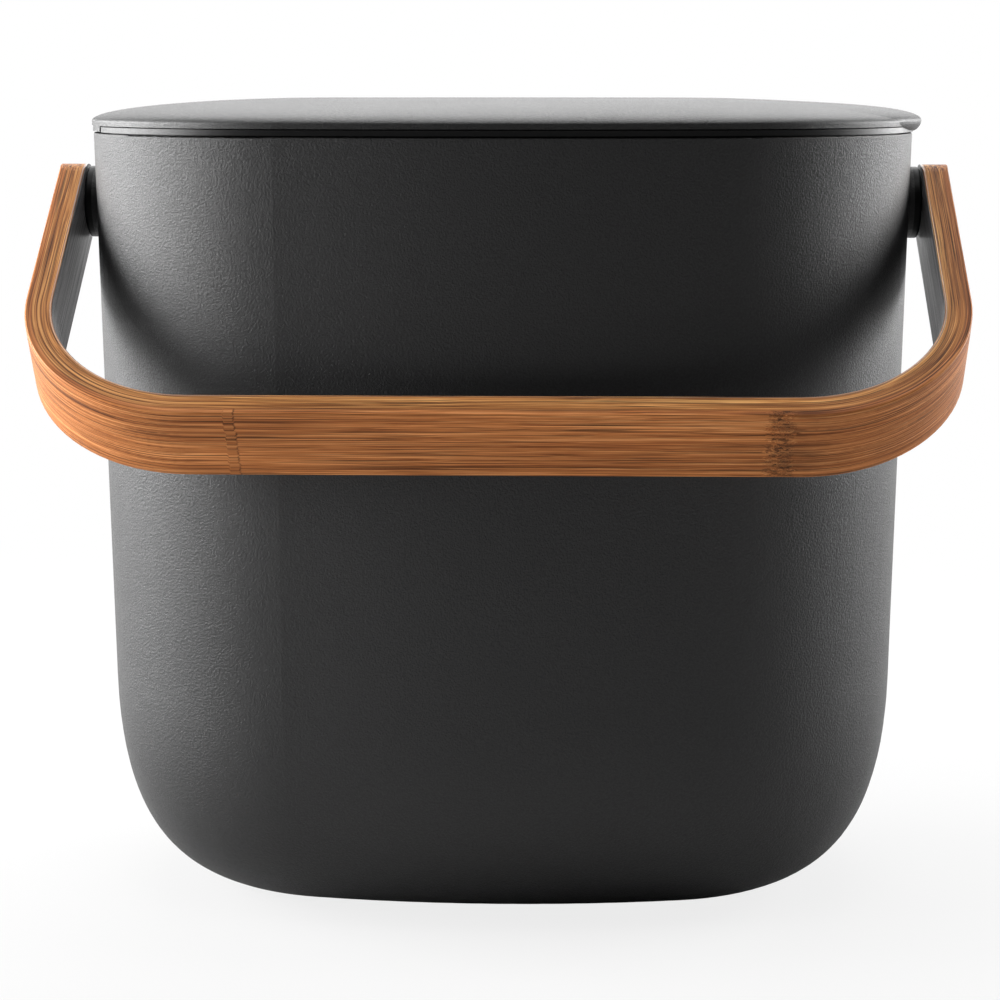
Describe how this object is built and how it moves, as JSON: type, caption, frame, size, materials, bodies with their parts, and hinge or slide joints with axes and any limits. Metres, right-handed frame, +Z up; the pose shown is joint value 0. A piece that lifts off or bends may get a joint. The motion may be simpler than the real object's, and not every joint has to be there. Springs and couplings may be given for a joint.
{
  "type": "waste sorting bucket",
  "caption": "Oval lidded kitchen waste bucket with a lift-off bag ring, a hinged crowned lid and a bent bamboo swing handle.",
  "frame": {"origin": "centre of the standing rim under the bucket, on the surface it stands on", "axes": "+Z up, +X towards the finger lip of the lid (the hinge is at -X), -Y towards the side the handle hangs on"},
  "size_m": [0.2624, 0.1741, 0.2357],
  "materials": {
    "bucket": "fine moulded grain, matte black",
    "ring": "smooth, semi-gloss black",
    "lid": "fine moulded grain, matte black",
    "bamboo": "laminated bamboo, satin lacquer",
    "bamboo_core": "darker bamboo plies with dark glue lines",
    "dark_ply": "thin ply stained black",
    "pivot_plastic": "smooth black",
    "steel": "brushed"
  },
  "bodies": {
    "bucket": {"bucket_shell": "bucket", "pivot_bush_left": "pivot_plastic", "pivot_bush_right": "pivot_plastic"},
    "bag_ring": {"bag_ring": "ring"},
    "lid": {"lid": "lid", "lid_hinge_pin": "steel"},
    "handle": {"handle_ply_outer": "bamboo", "handle_ply_core_1": "bamboo_core", "handle_ply_core_2": "bamboo_core", "handle_ply_inner": "bamboo", "handle_ply_dark": "dark_ply", "pivot_pin_left": "steel", "pivot_pin_right": "steel", "pivot_cap_left": "pivot_plastic", "pivot_cap_right": "pivot_plastic"}
  },
  "joints": [
    {"name": "handle_swing", "type": "hinge", "parent": "bucket", "child": "handle", "pos_m": [0, 0, 0.2051], "axis": [-1, 0, 0], "range_deg": [0, 247.8]},
    {"name": "ring_lift", "type": "slide", "parent": "bucket", "child": "bag_ring", "axis": [0, 0, 1], "range_m": [0, 0.06]},
    {"name": "lid_hinge", "type": "hinge", "parent": "bag_ring", "child": "lid", "pos_m": [-0.1187, 0, 0.2282], "axis": [0, -1, 0], "range_deg": [0, 105]}
  ]
}
